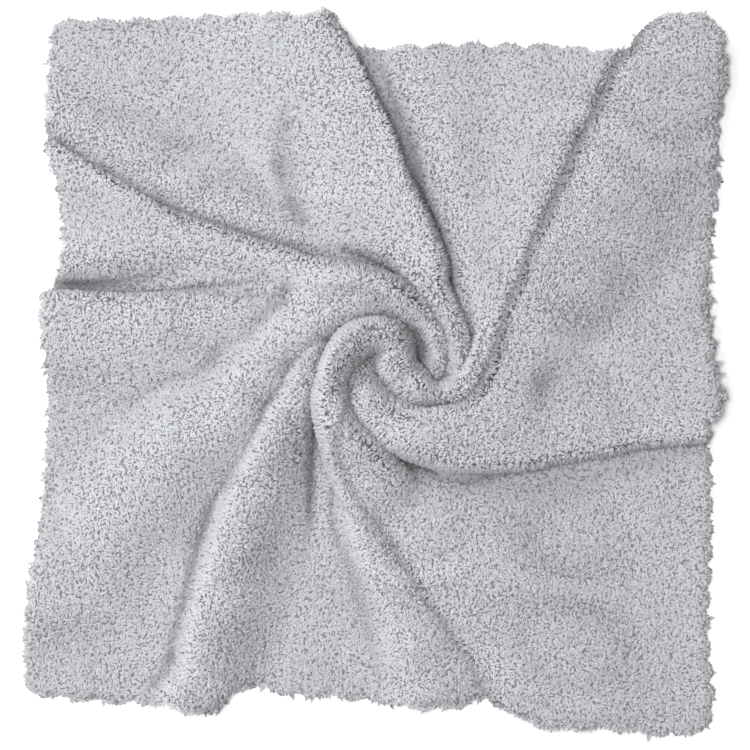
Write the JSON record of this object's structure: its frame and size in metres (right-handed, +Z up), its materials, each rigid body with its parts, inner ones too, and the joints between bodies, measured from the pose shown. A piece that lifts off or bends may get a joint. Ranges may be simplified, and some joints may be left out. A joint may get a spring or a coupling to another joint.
{
  "type": "microfibre cloth",
  "caption": "Square plush cleaning cloth with a wavy cut edge, lying flat with its middle pinched and turned into a swirl, from which soft folds run out to its edges.",
  "frame": {"origin": "middle of the cloth's footprint, at the height of the surface that it lies on", "axes": "+Z up from the surface, +Y towards the side with the raised corner flap's tip, and +X to the right of it as seen from above; X and Y run along the cloth's sides"},
  "size_m": [0.2866, 0.2952, 0.0307],
  "materials": {
    "fleece": "deep, matt, light grey plush pile on both faces"
  },
  "bodies": {
    "root": {"cloth": "fleece"}
  },
  "joints": []
}
